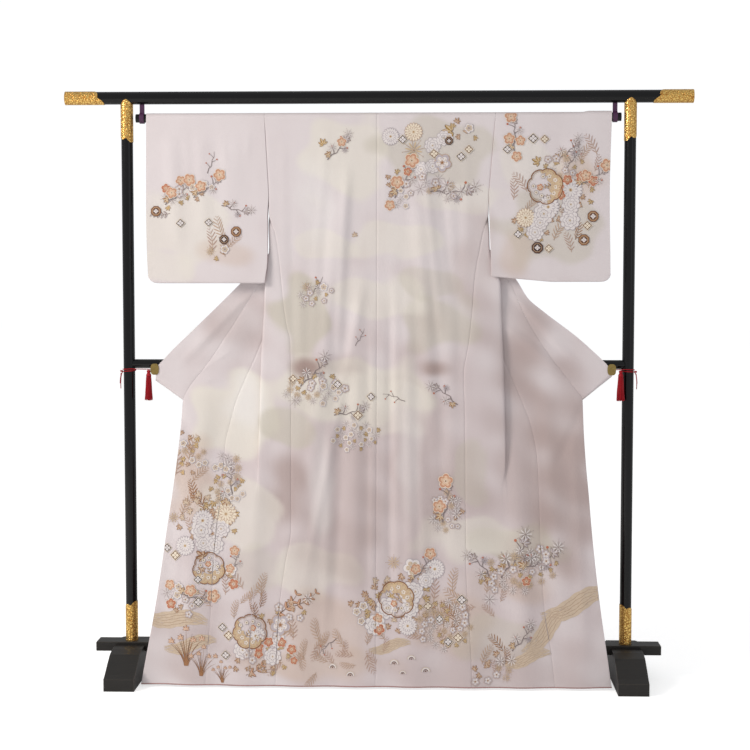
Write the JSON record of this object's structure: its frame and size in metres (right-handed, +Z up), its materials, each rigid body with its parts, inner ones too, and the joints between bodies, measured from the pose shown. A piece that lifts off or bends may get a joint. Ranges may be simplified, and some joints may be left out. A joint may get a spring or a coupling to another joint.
{
  "type": "kimono on a lacquered kimono rack",
  "caption": "Formal kimono hung back-outward on a black lacquered rack with gilt fittings, its fronts drawn out to both sides by tasselled clips.",
  "frame": {"origin": "on the floor under the middle of the rack, between the two feet", "axes": "+X along the rods to the viewer's right, +Y away from the side that the kimono's back faces, +Z up"},
  "size_m": [1.772, 0.41, 1.6733],
  "materials": {
    "silk_body": "matte",
    "silk_sleeves": "matte",
    "silk_fronts": "matte",
    "silk_overlaps": "matte",
    "silk_collar": "matte",
    "black_lacquer": "gloss",
    "base_black": "satin",
    "gilt_fittings": "polished",
    "hook_metal": "satin",
    "clip_metal": "satin",
    "red_silk_cord": "satin",
    "red_silk_tassel": "satin"
  },
  "bodies": {
    "root": {"back_left": "silk_body", "back_right": "silk_body", "sleeve_left": "silk_sleeves", "sleeve_right": "silk_sleeves", "front_left": "silk_fronts", "front_right": "silk_fronts", "okumi_left": "silk_overlaps", "okumi_right": "silk_overlaps", "collar_left": "silk_collar", "collar_right": "silk_collar", "top_bar": "black_lacquer", "hanging_rod": "black_lacquer", "middle_bar": "black_lacquer", "post_left": "black_lacquer", "post_right": "black_lacquer", "low_beam": "base_black", "foot_left": "base_black", "foot_right": "base_black", "gold_bar_end_left": "gilt_fittings", "gold_bar_end_right": "gilt_fittings", "gold_post_top_left": "gilt_fittings", "gold_post_top_right": "gilt_fittings", "gold_post_bottom_left": "gilt_fittings", "gold_post_bottom_right": "gilt_fittings", "hook_left": "hook_metal", "hook_right": "hook_metal", "clip_left": "clip_metal", "clip_right": "clip_metal", "tie_left": "red_silk_cord", "tie_right": "red_silk_cord", "tie_knot_left": "red_silk_cord", "tie_knot_right": "red_silk_cord", "tie_end_left": "red_silk_cord", "tie_end_right": "red_silk_cord", "tassel_left": "red_silk_tassel", "tassel_right": "red_silk_tassel"}
  },
  "joints": []
}
